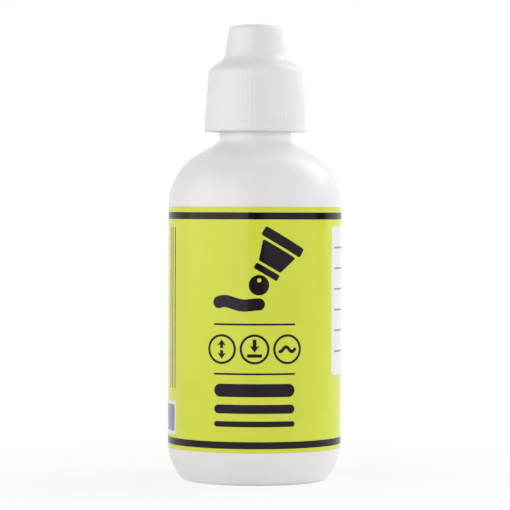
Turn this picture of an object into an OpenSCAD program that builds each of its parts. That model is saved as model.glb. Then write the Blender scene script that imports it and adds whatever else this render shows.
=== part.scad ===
// Ball paint marker: a squeeze bottle with a wrap-round label, a spring-loaded ball tip
// pressed into its neck, and a ribbed screw cap that covers the tip.
// Millimetres. The origin is the centre of the base, +Z is up, and the label's front faces -Y.

/* [Bottle] */
// Outside diameter of the body, under the label
bottle_d = 37.8; // [34:0.1:42]
// Wall thickness of the body, the shoulder and the base
bottle_wall = 1; // [0.8:0.05:1.3]
// Height at which the heel starts to curve in
heel_z = 8.3; // [7.4:0.1:9.5]
// Radius of the heel's curve
heel_r = 12.4; // [11:0.1:15]
// Radius of the corner between the heel and the base
base_corner_r = 1.6; // [1.4:0.1:2.2]
// Width of the flat ring that the bottle stands on
base_ring_w = 2.4; // [1.8:0.1:4]
// Height of the hollow under the base
base_dome_h = 1.2; // [0.6:0.1:2]
// Height at which the shoulder starts to curve in
shoulder_z = 60.3; // [52:0.1:70]
// Radius of the shoulder's curve
shoulder_r = 12.75; // [11.5:0.05:14]
// Angle that the shoulder's curve turns through before it runs straight to the neck
shoulder_sweep = 59.5; // [52:0.5:66]

/* [Neck] */
// Outside diameter of the neck, at the bottom of its thread
neck_d = 15.6; // [14.4:0.1:17]
// Height of the neck, from the end of the shoulder to the rim
neck_h = 12.8; // [11:0.1:16]
// Wall thickness of the neck
neck_wall = 1.8; // [1.4:0.05:2.2]
// Radius of the hollow curve between the shoulder and the neck
neck_fillet_r = 1.5; // [0.8:0.1:2]

/* [Thread] */
// Rise of the thread in one turn
thread_pitch = 3; // [2.6:0.1:3.6]
// Number of turns on the neck and in the cap
thread_turns = 1.5; // [1:0.25:1.75]
// How far the thread stands out of its wall
thread_depth = 1; // [0.6:0.05:1.1]
// Width of the thread where it leaves its wall
thread_root_w = 1.4; // [1.1:0.05:1.6]
// Width of the thread at its crest
thread_crest_w = 0.9; // [0.6:0.05:1]
// Gap between each thread's crest and the wall that it faces
thread_gap = 0.3; // [0.2:0.05:0.4]
// Distance from the neck's rim down to its thread
thread_lead = 1.6; // [1.2:0.1:2.2]
// Angle over which each end of a thread fades into its wall
thread_fade = 40; // [30:5:60]

/* [Label] */
// How far the label's lower edge reaches below the start of the heel
label_overrun = 1; // [0:0.1:1.2]
// Distance from the label's upper edge up to the start of the shoulder
label_top_gap = 0.4; // [0.2:0.1:8]
// Thickness of the label's film
label_t = 0.1; // [0.06:0.01:0.2]
// Gap between the label's two ends, at the back
label_seam_w = 2; // [0.5:0.1:6]

/* [Tip plug] */
// Thickness of the flange that sits on the neck's rim
flange_t = 0.9; // [0.7:0.05:1.4]
// How far the flange stays inside the neck's outside diameter
flange_setback = 0.4; // [0.2:0.05:0.8]
// Depth of the spigot inside the neck
spigot_h = 8; // [5:0.1:10]
// Wall thickness of the spigot
spigot_wall = 1.2; // [0.9:0.05:1.8]
// Height of the nozzle above the flange
nozzle_h = 5.1; // [4.4:0.1:6.5]
// How much further the nozzle reaches from the axis at the flange than at its end
nozzle_spread = 1; // [0.5:0.05:1.4]
// Wall thickness at the nozzle's end, round the ball socket
nozzle_wall = 0.95; // [0.8:0.05:1.15]

/* [Ball tip] */
// Diameter of the marking ball
ball_d = 4; // [3.4:0.1:4.4]
// How far the lip reaches in over the ball
lip_hold = 0.25; // [0.15:0.05:0.4]
// Wall thickness of the socket at its lip
lip_wall = 0.5; // [0.4:0.05:0.7]
// Depth of the straight edge inside the lip
lip_land = 0.15; // [0.1:0.05:0.25]
// Gap between the ball and the faces that it rolls on
seat_gap = 0.04; // [0.03:0.01:0.06]
// Gap round the ball for the paint, in the chamber behind it
chamber_gap = 0.25; // [0.2:0.05:0.35]
// Wall thickness of the socket's shank, round the chamber
shank_wall = 0.7; // [0.5:0.05:0.9]
// Length of the shank inside the nozzle
shank_h = 5.4; // [5:0.1:6]
// Width of the collar that stops the socket on the nozzle
collar_w = 0.65; // [0.45:0.05:0.9]
// Thickness of the collar
collar_t = 0.8; // [0.6:0.05:1.2]
// How far the collar stands out of the nose
collar_step = 0.2; // [0.1:0.05:0.4]
// Width of the ledge in the nozzle that the shank stands on
shank_ledge = 0.35; // [0.2:0.05:0.45]
// Height of the straight throat under that ledge
throat_h = 0.6; // [0.4:0.1:1]
// Height of the socket's nose above its collar
nose_h = 3.3; // [3.1:0.05:4]
// Travel of the ball when it is pressed in
press_travel = 0.6; // [0.3:0.05:0.9]

/* [Pusher and spring] */
// Gap between the pusher's head and the chamber
pusher_gap = 0.2; // [0.1:0.05:0.3]
// Thickness of the pusher's head under the ball
pusher_head_t = 0.8; // [0.6:0.05:1]
// How far the pusher's hollow comes up round the ball
pusher_cup_h = 1; // [0.6:0.05:1.3]
// Diameter of the pusher's stem
pusher_stem_d = 1.5; // [1.2:0.05:1.8]
// Gap left between the stem and its stop when the ball is pressed right in
stop_gap = 0.05; // [0.03:0.01:0.1]
// Diameter of the spring's wire
spring_wire_d = 0.35; // [0.25:0.05:0.4]
// Gap between the spring and the stem inside it
spring_gap = 0.42; // [0.3:0.02:0.5]
// Number of turns in the spring
spring_turns = 5; // [3:0.5:5]
// Thickness of the seat that the spring stands on
spring_seat_t = 1.2; // [0.8:0.1:1.6]
// Radius of each notch that lets the paint past the spring seat
seat_notch_r = 0.6; // [0.4:0.05:0.65]
// Number of notches round the spring seat
seat_notches = 3; // [2:1:4]

/* [Cap] */
// Wall thickness of the skirt at its top, and of the nipple
cap_wall = 1.05; // [0.9:0.05:1.6]
// Draft of the skirt, in degrees
skirt_draft = 4.4; // [1:0.1:6]
// Gap between the cap's lower edge and the end of the shoulder
skirt_gap = 2.2; // [1.6:0.1:3.5]
// Thickness of the cap's deck over the seal
deck_t = 2.05; // [1.4:0.05:2.6]
// Height of the slope at the skirt's upper edge
skirt_chamfer_h = 1.05; // [0.4:0.05:1.2]
// Gap between the socket's collar and the inside of the nipple
nipple_gap = 1.95; // [1.2:0.05:2.4]
// Gap between the ball and the end of the nipple
nipple_end_gap = 0.8; // [0.4:0.1:1.2]
// Thickness of the nipple's end, at the edge of its crown
nipple_end_t = 0.8; // [0.6:0.05:1.2]
// Slope of the crown on the nipple's end, at its edge, in degrees
crown_slope = 11; // [2:0.5:14]
// Taper of the nipple, in degrees from the axis
nipple_taper = 8.4; // [5:0.2:12]
// Slope of the cone between the nipple and the skirt, in degrees from the axis
cone_slope = 58; // [50:1:62]
// Radius of the hollow curve between the nipple and the cone
flare_r = 3; // [2:0.1:4]
// Radius of the rounded edge at the nipple's end
nipple_edge_r = 0.8; // [0.4:0.05:1.1]
// Number of grooves round the skirt
groove_count = 70; // [40:1:80]
// Radius of each groove
groove_r = 0.24; // [0.2:0.01:0.3]
// Depth of each groove
groove_depth = 0.08; // [0.06:0.01:0.12]
// Height of the plain band under the grooves
skirt_band_h = 1.9; // [0.6:0.1:3]
// How far that band lies in from the bottom of the grooves
band_setback = 0.08; // [0.03:0.01:0.12]

/* [Cap seal] */
// Thickness of the seal
seal_t = 0.9; // [0.6:0.05:1.4]
// Gap between the seal and the nozzle that it goes round
seal_nozzle_gap = 0.7; // [0.5:0.05:0.9]
// Gap between the seal's edge and the cap's bore
seal_edge_gap = 0.1; // [0.05:0.05:0.3]
// Gap between the seal's flat faces and what they meet
seal_face_gap = 0.02; // [0.01:0.01:0.05]

/* [Contents] */
// Diameter of the mixing ball
mixing_ball_d = 6; // [4:0.1:7]
// Gap between the mixing ball and what it touches
mixing_gap = 0.05; // [0.03:0.01:0.1]
// Distance from the start of the shoulder down to the paint's surface
paint_drop = 0.8; // [0.2:0.1:30]

/* [Hidden] */

$fn = 64;
arc_steps = 14;            // straight pieces that stand for each arc of an outline
steps_per_turn = 36;       // rings in one turn of a thread
rings_per_curl = 12;       // rings in one turn of the spring
wire_sides = 6;            // sides of the spring's wire
groove_sides = 24;         // facets of the round tool that cuts each groove
thread_bite = 0.3;         // depth that a thread's root is sunk into its wall, so that they join
past = 1;                  // distance that a cutting shape runs past the face it cuts

// Bottle outline
bottle_r = bottle_d / 2;
heel_x = bottle_r - heel_r;
corner_x = heel_x + sqrt(pow(heel_r - base_corner_r, 2) - pow(heel_z - base_corner_r, 2));
corner_turn = asin((heel_z - base_corner_r) / (heel_r - base_corner_r));
ring_in_r = corner_x - base_ring_w;
dome_r = (pow(ring_in_r, 2) + pow(base_dome_h, 2)) / (2 * base_dome_h);
shoulder_x = bottle_r - shoulder_r;
neck_r = neck_d / 2;
bore_r = neck_r - neck_wall;
neck_z = shoulder_line_z(neck_r, 0);
rim_z = neck_z + neck_h;
fillet_run = neck_fillet_r * tan(shoulder_sweep / 2);

// Label
label_z = heel_z - label_overrun;
label_h = shoulder_z - label_top_gap - label_z;

// Thread: both threads follow one helix, half a pitch apart
thread_r = neck_r + thread_depth;
cap_bore_r = thread_r + thread_gap;
thread_top_z = rim_z - thread_lead;
thread_rise = thread_pitch * thread_turns;
thread_start_z = thread_top_z - thread_rise - thread_root_w / 2;
cap_thread_z = thread_start_z + thread_pitch / 2;

// Ball tip, from the plug's flange up to the ball
ball_r = ball_d / 2;
seat_r = ball_r + seat_gap;
lip_r = ball_r - lip_hold;
lip_turn = acos(lip_r / seat_r);
chamber_r = ball_r + chamber_gap;
shank_r = chamber_r + shank_wall;
flange_z = rim_z + flange_t;
nozzle_z = flange_z + nozzle_h;
collar_z = nozzle_z + collar_t;
lip_z = collar_z + nose_h;
ball_z = lip_z - lip_land - seat_r * sin(lip_turn);
shank_z = nozzle_z - shank_h;
seat_top_z = shank_z + spring_seat_t;
pusher_r = chamber_r - pusher_gap;
pusher_z = ball_z - ball_r - pusher_head_t;
pusher_top_z = ball_z - ball_r + pusher_cup_h;
stem_z = seat_top_z + press_travel + stop_gap;
nozzle_end_r = shank_r + nozzle_wall;
nozzle_base_r = nozzle_end_r + nozzle_spread;
collar_r = shank_r + collar_w;
nose_root_r = collar_r - collar_step;
channel_r = bore_r - spigot_wall;
throat_r = shank_r - shank_ledge;
throat_z = shank_z - throat_h;

// Spring
spring_r = pusher_stem_d / 2 + spring_gap + spring_wire_d / 2;
spring_low_z = seat_top_z + spring_wire_d / 2;
spring_high_z = pusher_z - spring_wire_d / 2;
spring_rise = (spring_high_z - spring_low_z) / spring_turns;

// Cap
ceiling_z = flange_z + seal_t + 2 * seal_face_gap;
skirt_z = neck_z + skirt_gap;
band_z = skirt_z + skirt_band_h;
deck_z = ceiling_z + deck_t;
skirt_top_r = cap_bore_r + cap_wall;
rib_h = groove_depth + band_setback;
nipple_end_z = ball_z + ball_r + nipple_end_gap;
edge_z = nipple_end_z + nipple_end_t - nipple_edge_r;
edge_x = nipple_r(edge_z) - nipple_edge_r / cos(nipple_taper);
crown_edge_r = edge_x + nipple_edge_r * sin(crown_slope);
crown_r = crown_edge_r / sin(crown_slope);
crown_z = edge_z + nipple_edge_r * cos(crown_slope) - crown_r * cos(crown_slope);
seal_in_r = nozzle_base_r + seal_nozzle_gap;
cone_foot_r = skirt_top_r - skirt_chamfer_h;
flare_z = (cone_r(0) + flare_r / cos(cone_slope) - nipple_r(0) - flare_r / cos(nipple_taper))
    / (tan(cone_slope) - tan(nipple_taper));
flare_x = nipple_r(flare_z) + flare_r / cos(nipple_taper);

// Paint
paint_z = shoulder_z - paint_drop;

// Mixing ball, in the trough between the floor and the heel
mixing_r = mixing_ball_d / 2;
mixing_z = bottle_wall + mixing_r + mixing_gap;
mixing_x = heel_x - mixing_gap
    + sqrt(pow(heel_r - bottle_wall - mixing_r - mixing_gap, 2) - pow(heel_z - mixing_z, 2));

// Points of an arc, from angle a0 to angle a1. An arc that runs on from another has first = 1.
function arc(centre, r, a0, a1, first = 0) = [
    for (i = [first:arc_steps]) let (a = a0 + (a1 - a0) * i / arc_steps)
        centre + r * [cos(a), sin(a)]
];

// Height of the shoulder's straight run at radius r, with the outline drawn in by a wall
function shoulder_line_z(r, wall) =
    let (foot_r = shoulder_x + (shoulder_r - wall) * cos(shoulder_sweep),
         foot_z = shoulder_z + (shoulder_r - wall) * sin(shoulder_sweep))
    foot_z + (foot_r - r) / tan(shoulder_sweep);

// Skirt's outside radius at height z, over its ribs
function skirt_r(z) = skirt_top_r + (deck_z - z) * tan(skirt_draft);

// Nipple's inside and outside radius at height z
function nipple_in_r(z) = collar_r + nipple_gap + (collar_z - z) * tan(nipple_taper);
function nipple_r(z) = nipple_in_r(z) + cap_wall / cos(nipple_taper);

// Radius at height z of the cone that runs from the nipple down to the skirt's upper edge
function cone_r(z) = cone_foot_r + (deck_z - z) * tan(cone_slope);

// Floor, heel, wall and shoulder of the bottle's outline, drawn in by a wall
function bottle_side(wall) = concat(
    arc([0, base_dome_h - dome_r + wall], dome_r, 90, 90 - asin(ring_in_r / dome_r)),
    arc([corner_x, base_corner_r], base_corner_r - wall, -90, -corner_turn),
    arc([heel_x, heel_z], heel_r - wall, -corner_turn, 0, 1),
    arc([shoulder_x, shoulder_z], shoulder_r - wall, 0, shoulder_sweep)
);

// Hollow curve where the shoulder runs into the neck
neck_fillet = arc(
    [neck_r + neck_fillet_r, neck_z + fillet_run], neck_fillet_r, 180 + shoulder_sweep, 180);

// Reverses a list of points
function reversed(list) = [for (i = [len(list) - 1:-1:0]) list[i]];

// Turns an outline of [radius, height] points about the Z axis
module turned(points) {
    rotate_extrude() polygon(points);
}

// Faces of a tube swept along rings of n points each, with its two ends closed
function tube_faces(rings, n) = concat(
    [for (i = [0:rings - 2], j = [0:n - 1]) let (k = (j + 1) % n)
        each [[i * n + j, i * n + k, (i + 1) * n + j], [i * n + k, (i + 1) * n + k, (i + 1) * n + j]]],
    [for (j = [1:n - 2]) [0, j + 1, j]],
    [for (j = [1:n - 2]) let (last = (rings - 1) * n) [last, last + j, last + j + 1]]
);

// Share of its full height that a thread has at an angle, fading at both ends
function thread_share(a) = min(1, a / thread_fade, (thread_turns * 360 - a) / thread_fade);

// Helical thread on a wall of radius wall_r. It stands outwards for side 1, inwards for side -1.
module thread(wall_r, start_z, side) {
    steps = ceil(thread_turns * steps_per_turn);
    sunk_r = wall_r - side * thread_bite;
    points = [
        for (i = [0:steps]) let (
            a = thread_turns * 360 * i / steps,
            z = start_z + thread_pitch * a / 360,
            share = thread_share(a),
            crest_r = wall_r + side * (thread_depth * share - thread_bite / 2 * (1 - share)),
            profile = [
                [sunk_r, z - thread_root_w / 2], [crest_r, z - thread_crest_w / 2],
                [crest_r, z + thread_crest_w / 2], [sunk_r, z + thread_root_w / 2],
            ])
        each [for (p = side > 0 ? profile : reversed(profile)) [p.x * cos(a), p.x * sin(a), p.y]]
    ];
    polyhedron(points, tube_faces(steps + 1, 4));
}

// Blow-moulded squeeze bottle with its threaded neck
module bottle() {
    color("white") union() {
        turned(concat(
            bottle_side(0), neck_fillet,
            [[neck_r, rim_z], [bore_r, rim_z]],
            [[bore_r, shoulder_line_z(bore_r, bottle_wall)]],
            reversed(bottle_side(bottle_wall))
        ));
        thread(neck_r, thread_start_z, 1);
    }
}

// Printed film wrapped round the body, with its two ends a little apart at the back
module label() {
    seam_angle = label_seam_w / (bottle_r + label_t) * 180 / PI;
    color("yellowgreen") rotate([0, 0, 90 + seam_angle / 2])
        rotate_extrude(angle = 360 - seam_angle)
            translate([bottle_r, label_z]) square([label_t, label_h]);
}

// Paint at rest, filling the bottle up to its surface, with a pocket for the mixing ball
module paint_fill() {
    color("greenyellow") difference() {
        turned(concat(
            [for (p = bottle_side(bottle_wall)) if (p.y < paint_z) p],
            [[bottle_r - bottle_wall, paint_z], [0, paint_z]]
        ));
        translate([mixing_x, 0, mixing_z]) sphere(mixing_r + mixing_gap);
    }
}

// Loose steel ball that stirs the paint when the marker is shaken
module mixing_ball() {
    color("silver") translate([mixing_x, 0, mixing_z]) sphere(mixing_r);
}

// Nozzle pressed into the neck: spigot, flange and cone, bored for the socket and the paint
module tip_plug() {
    color("whitesmoke") turned([
        [throat_r, throat_z],
        [channel_r, throat_z - (channel_r - throat_r)],
        [channel_r, rim_z - spigot_h],
        [bore_r, rim_z - spigot_h],
        [bore_r, rim_z],
        [neck_r - flange_setback, rim_z],
        [neck_r - flange_setback, flange_z],
        [nozzle_base_r, flange_z],
        [nozzle_end_r, nozzle_z],
        [shank_r, nozzle_z],
        [shank_r, shank_z],
        [throat_r, shank_z],
    ]);
}

// Metal socket pressed into the nozzle, which holds the ball behind its rolled lip
module ball_socket() {
    color("silver") turned(concat(
        [
            [chamber_r, shank_z], [shank_r, shank_z], [shank_r, nozzle_z],
            [collar_r, nozzle_z], [collar_r, collar_z], [nose_root_r, collar_z],
            [lip_r + lip_wall, lip_z], [lip_r, lip_z],
        ],
        reversed(arc([0, ball_z], seat_r, 0, lip_turn)),
        [[chamber_r, ball_z - chamber_gap]]
    ));
}

// Disc pressed into the back of the socket, notched for the paint
module spring_seat() {
    color("gainsboro") difference() {
        translate([0, 0, shank_z]) cylinder(r = chamber_r, h = spring_seat_t);
        for (i = [0:seat_notches - 1])
            rotate([0, 0, i * 360 / seat_notches])
                translate([chamber_r, 0, shank_z - past])
                    cylinder(r = seat_notch_r, h = spring_seat_t + 2 * past);
    }
}

// Points on the middle of the spring's wire
spring_path = [
    for (i = [0:spring_turns * rings_per_curl]) let (a = 360 * i / rings_per_curl)
        [spring_r * cos(a), spring_r * sin(a), spring_low_z + spring_rise * a / 360]
];
spring_least_gap = min([
    for (i = [0:len(spring_path) - 1], j = [i + rings_per_curl / 2:len(spring_path) - 1])
        if (j < len(spring_path)) norm(spring_path[i] - spring_path[j]) - spring_wire_d
]);
echo(str("least gap between the spring's turns, mm: ", spring_least_gap));

// Compression spring that keeps the ball against its lip
module tip_spring() {
    points = [
        for (i = [0:len(spring_path) - 1]) let (a = 360 * i / rings_per_curl)
            each [
                for (k = [0:wire_sides - 1]) let (
                    b = 360 * k / wire_sides, out = spring_wire_d / 2 * cos(b))
                spring_path[i] + [out * cos(a), out * sin(a), spring_wire_d / 2 * sin(b)]
            ]
    ];
    color("lightsteelblue") polyhedron(points, tube_faces(len(spring_path), wire_sides));
}

// Plunger between the spring and the ball, with a hollow for the ball and a stem for a stop
module ball_pusher() {
    color("ivory") difference() {
        turned([
            [0, stem_z], [pusher_stem_d / 2, stem_z], [pusher_stem_d / 2, pusher_z],
            [pusher_r, pusher_z], [pusher_r, pusher_top_z], [0, pusher_top_z],
        ]);
        translate([0, 0, ball_z]) sphere(seat_r);
    }
}

// Steel marking ball
module ball() {
    color("silver") translate([0, 0, ball_z]) sphere(ball_r);
}

// Soft ring in the cap that closes on the plug's flange
module cap_seal() {
    color("lightgray") translate([0, 0, flange_z + seal_face_gap])
        difference() {
            cylinder(r = cap_bore_r - seal_edge_gap, h = seal_t);
            translate([0, 0, -past]) cylinder(r = seal_in_r, h = seal_t + 2 * past);
        }
}

// Grooves cut down the skirt, along its draft, which run out over the plain band
module skirt_grooves() {
    low_z = band_z - past;
    for (i = [0:groove_count - 1])
        rotate([0, 0, i * 360 / groove_count])
            translate([skirt_r(low_z) + groove_r - groove_depth, 0, low_z])
                rotate([0, -skirt_draft, 0])
                    cylinder(r = groove_r, h = deck_z - low_z + past, $fn = groove_sides);
}

// Ribbed screw cap with a hollow nipple over the tip
module cap() {
    color("white") union() {
        difference() {
            turned(concat(
                [
                    [cap_bore_r, skirt_z], [skirt_r(skirt_z) - rib_h, skirt_z],
                    [skirt_r(band_z) - rib_h, band_z], [skirt_r(band_z), band_z],
                    [skirt_r(deck_z - skirt_chamfer_h), deck_z - skirt_chamfer_h],
                    [cone_foot_r, deck_z],
                ],
                arc([flare_x, flare_z], flare_r, 180 + cone_slope, 180 + nipple_taper),
                arc([edge_x, edge_z], nipple_edge_r, nipple_taper, 90 - crown_slope),
                arc([0, crown_z], crown_r, 90 - crown_slope, 90, 1),
                [
                    [0, nipple_end_z], [nipple_in_r(nipple_end_z), nipple_end_z],
                    [nipple_in_r(ceiling_z), ceiling_z], [cap_bore_r, ceiling_z],
                ]
            ));
            skirt_grooves();
        }
        thread(cap_bore_r, cap_thread_z, -1);
    }
}

bottle();
label();
paint_fill();
mixing_ball();
tip_plug();
ball_socket();
spring_seat();
tip_spring();
ball_pusher();
ball();
cap_seal();
cap();
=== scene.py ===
"""Looks of the ball paint marker: finer shells, label print, materials, light and camera.

Outlines are in millimetres, as (radius, height) points. Meshes are in metres.
"""
import math

import bmesh
import bpy
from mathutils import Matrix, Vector
from mathutils.geometry import tessellate_polygon


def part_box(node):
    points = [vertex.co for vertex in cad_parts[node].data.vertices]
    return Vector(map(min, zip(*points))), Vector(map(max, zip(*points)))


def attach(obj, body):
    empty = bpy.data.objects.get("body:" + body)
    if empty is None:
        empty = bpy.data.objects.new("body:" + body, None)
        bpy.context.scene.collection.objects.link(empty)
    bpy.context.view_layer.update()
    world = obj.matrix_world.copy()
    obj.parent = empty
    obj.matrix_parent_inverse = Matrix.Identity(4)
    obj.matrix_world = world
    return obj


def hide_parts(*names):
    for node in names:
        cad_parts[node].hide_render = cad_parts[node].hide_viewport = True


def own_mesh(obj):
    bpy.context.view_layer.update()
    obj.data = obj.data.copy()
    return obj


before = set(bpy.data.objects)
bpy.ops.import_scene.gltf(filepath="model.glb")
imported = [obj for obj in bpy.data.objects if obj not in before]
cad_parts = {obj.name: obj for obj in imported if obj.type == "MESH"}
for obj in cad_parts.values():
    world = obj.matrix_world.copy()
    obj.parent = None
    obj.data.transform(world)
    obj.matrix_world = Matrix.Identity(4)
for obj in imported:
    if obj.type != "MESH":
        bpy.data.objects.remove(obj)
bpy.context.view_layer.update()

MM = 0.001


def node_box(node):
    """Lowest and highest corner of a CAD node, in millimetres."""
    low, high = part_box(node)
    return low / MM, high / MM


# Sizes read from the frame
bottle_low, bottle_high = node_box("bottle")
label_low, label_high = node_box("label")
cap_low, cap_high = node_box("cap")
plug_low, plug_high = node_box("tip_plug")
socket_low, socket_high = node_box("ball_socket")
spring_low, spring_high = node_box("tip_spring")
ball_low, ball_high = node_box("ball")
bottle_r = bottle_high.x
rim_z = bottle_high.z
label_r = label_high.x
label_z = label_low.z
label_top_z = label_high.z
skirt_z = cap_low.z
nozzle_z = plug_high.z
lip_z = socket_high.z
ball_r = (ball_high.z - ball_low.z) / 2
ball_z = (ball_high.z + ball_low.z) / 2

# Meshes in general, with angles in degrees
SHARP = 40  # edges sharper than this aren't smoothed
THREAD_SHARP = 50
CAP_SHARP = 50
CORNER_SHARE = 0.45  # most of a side that the arc at one of its corners takes up
AXIS_R = 1e-6  # a point within this of the axis is on it
SLACK = 0.01  # room left when two heights are compared

# Bottle
BOTTLE_WALL = 1.0
HEEL_Z = 8.3
HEEL_R = 12.4
BASE_CORNER_R = 1.6
BASE_RING_W = 2.4
BASE_DOME_H = 1.2
SHOULDER_Z = 60.3
SHOULDER_R = 12.75
SHOULDER_SWEEP = 59.5
NECK_R = 7.8
NECK_WALL = 1.8
NECK_FILLET_R = 1.5
RIM_FILLET_R = 0.25
BOTTLE_SIDES = 192
PAINTED_LIGHT_LOW_Z = SHOULDER_Z + 8  # from here up the wall is painted paler: painted light that lifts the shade the cap casts on the neck
PAINTED_LIGHT_HIGH_Z = SHOULDER_Z + 14

# Parting line of the bottle's mould, and the weld under the base
SEAM_H = 0.05
SEAM_HALF_W = 0.3
SEAM_LABEL_GAP = 0.3
SEAM_RIM_IN = 0.1
SEAM_STEP = 0.35  # degrees between the close points at a parting line
SEAM_STEPS = 4
WELD_H = 0.25
WELD_HALF_W = 0.4
WELD_REACH = 9.0
WELD_FADE = 1.0

# Threads
THREAD_PITCH = 3.0
THREAD_TURNS = 1.5
THREAD_DEPTH = 1.0
THREAD_ROOT_W = 1.4
THREAD_CREST_W = 0.9
THREAD_GAP = 0.3
THREAD_LEAD = 1.6
THREAD_FADE = 40
THREAD_BITE = 0.3
THREAD_ROUND = 0.12
THREAD_STEPS = 96  # rings in one turn

# Cap
CAP_WALL = 1.05
SKIRT_DRAFT = 4.4
SKIRT_CHAMFER_H = 1.05
SKIRT_EDGE_R = 0.3
SKIRT_BAND_H = 1.9
SKIRT_ROUND = 1.6
GROOVE_COUNT = 70
GROOVE_DEPTH = 0.04
SEGMENTS_PER_GROOVE = 12
RIB_H = 0.08
RIB_ROUND = 0.2
DECK_T = 2.05
NIPPLE_GAP = 1.95
NIPPLE_END_GAP = 0.8
NIPPLE_END_T = 0.8
NIPPLE_TAPER = 8.4
NIPPLE_EDGE_R = 0.8
CROWN_SLOPE = 11.0
CONE_SLOPE = 58.0
FLARE_R = 3.0

# Gate mark on the nipple's crown: a shallow dish with a pip in its middle
GATE_R = 1.0
GATE_DEPTH = 0.14
GATE_SLOPE = 0.12
PIP_R = 0.3
PIP_TOP_R = 0.26
PIP_EDGE_DROP = 0.03
PIP_DROP = 0.02

# Tip
FLANGE_T = 0.9
FLANGE_SETBACK = 0.4
SPIGOT_WALL = 1.2
NOZZLE_SPREAD = 1.0
NOZZLE_WALL = 0.95
SHANK_R = 2.95
SHANK_LEDGE = 0.35
THROAT_H = 0.6
CHAMBER_GAP = 0.25
SEAT_GAP = 0.04
LIP_HOLD = 0.25
LIP_WALL = 0.5
COLLAR_W = 0.65
COLLAR_T = 0.8
COLLAR_STEP = 0.2
TIP_EDGE_R = 0.15
TIP_SIDES = 128
LOOP_GAP = 0.1  # between the first and last point of the plug's outline
BALL_SIDES = 96
SEAL_STACK = 0.94
SPRING_WIRE_R = 0.175
SPRING_TURNS = 5
SPRING_STEPS = 40  # rings in one turn
WIRE_SIDES = 12

# Label film and its bands
SEAM_GAP = 2.0
INK_T = 0.02
INK_SINK = 0.01
WRAP_STEP = 0.6
SNAP = 0.001
LOW_BAND_MARGIN = 0.9
TOP_BAND_MARGIN = 1.2
BAND_W = 1.5

# Emblem on the label's front: a tip drawn upright about its ball, then scaled and turned
EMBLEM_PLACE = (0.9, 43.2)
EMBLEM_TURN = -30
EMBLEM_SCALE = 0.93
DRAWN_BALL_R = 2.35
DRAWN_GLINT = (-0.5, 1.0)
DRAWN_GLINT_R = 0.5
DRAWN_COLLAR = ((-3.1, 2.8), (3.1, 4.3))
DRAWN_NOZZLE_Z = (4.9, 9.7)
DRAWN_NOZZLE_HALF_W = (2.9, 4.5)
DRAWN_FLANGE = ((-5.4, 10.3), (5.4, 12.6))
DRAWN_CORNER = 0.4
DRAWN_FLANGE_CORNER = 0.5
DRAWN_LINE_X = -7.9
DRAWN_LINE_Z = 39.1
DRAWN_LINE_W = 2.6
DRAWN_LINE_SWING = 0.8
DRAWN_LINE_LENGTH = 9.6

# Three ringed signs, with heights from their middle
SIGNS_Z = 29.5
SIGN_REACH = 7.2
SIGN_R = 3.2
SIGN_LINE_W = 0.5
SHAKE_FOOT = 0.2
SHAKE_TIP = 2.1
SHAKE_W = 0.7
SHAKE_HEAD = 1.9
PRESS_FOOT = 2.1
PRESS_TIP = -0.7
PRESS_W = 0.8
PRESS_HEAD = 2.1
PLATE_LOW = (-1.6, -1.75)
PLATE_HIGH = (1.6, -1.05)
PLATE_CORNER = 0.2
DRAW_HALF_W = 1.7
DRAW_SWING = 0.5
DRAW_LENGTH = 2.7
DRAW_W = 0.7
ARROW_NECK = 0.6  # lengths of an arrow's head and of its barbs, as shares of the head's width
ARROW_BARB = 0.1

# Rules, and sample strokes as heights and widths
RULES_Z = (34.8, 24.2)
RULE_HALF = 9.0
RULE_W = 0.4
RULE_CORNER = 0.19
STROKES = ((20.7, 2.8), (16.7, 1.9), (13.5, 1.2))
STROKE_HALF = 8.9

# Ruled panel on the label's right side and coloured patch on its left
NOTE_LOW = (20.2, 23.5)
NOTE_HIGH = (39.0, 55.7)
NOTE_CORNER = 0.8
NOTE_INSET = 1.4
NOTE_RULES = 6
NOTE_RULE_Z = 28.4
NOTE_RULE_STEP = 4.5
PATCH_LOW = (-37.0, 10.4)
PATCH_HIGH = (-21.0, 17.7)
PATCH_CORNER = 0.6
PATCH_INSET = 0.8
PATCH_INK_CORNER = 0.4

# Upright lines on the label's left side and ragged lines on its back
UPRIGHTS_X = (-24.6, -23.2, -21.8)
UPRIGHT_W = 0.35
UPRIGHT_Z = (20.5, 55.5)
UPRIGHT_CORNER = 0.15
RAGGED_X = -50
RAGGED_Z = 53
RAGGED_STEP = 3
RAGGED_COUNT = 8
RAGGED_W = 0.6
RAGGED_CORNER = 0.2
RAGGED_LENGTHS = (15, 13.5, 14.6, 12)

# Floor, in metres apart from its gap in millimetres
FLOOR_GAP = 0.02  # keeps the floor's face apart from the ring that the bottle stands on
FLOOR_SIZE = 12
FLOOR_GREY = 0.94
SHADOW_NEAR = 0.02
SHADOW_FAR = 0.1
SHADOW_GLOW = 0.82  # share of plain white in the floor close to the object

# Light: sky levels, and the colours of the softboxes
SKY_LOW = 0.52
SKY_HIGH = 0.22
WARM_WHITE = (1, 0.975, 0.98)
COOL_WHITE = (0.985, 0.985, 1)
PLAIN_WHITE = (1, 1, 1)
OBJECT_MIDDLE = Vector((0, 0, 0.05))

# Camera, in metres and degrees
LENS = 195.3
SENSOR_W = 36
CAMERA_PLACE = (0, -0.608, 0.0596)
CAMERA_DIP = 0.97
CAMERA_ROLL = -0.18

# Worked-out sizes
bore_r = NECK_R - NECK_WALL
thread_start_z = rim_z - THREAD_LEAD - THREAD_PITCH * THREAD_TURNS - THREAD_ROOT_W / 2
cap_thread_z = thread_start_z + THREAD_PITCH / 2
cap_bore_r = NECK_R + THREAD_DEPTH + THREAD_GAP
flange_z = rim_z + FLANGE_T
ceiling_z = flange_z + SEAL_STACK
deck_z = ceiling_z + DECK_T
collar_r = SHANK_R + COLLAR_W
collar_z = nozzle_z + COLLAR_T
film_t = label_r - bottle_r
half_label = math.pi * label_r - SEAM_GAP / 2


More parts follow.
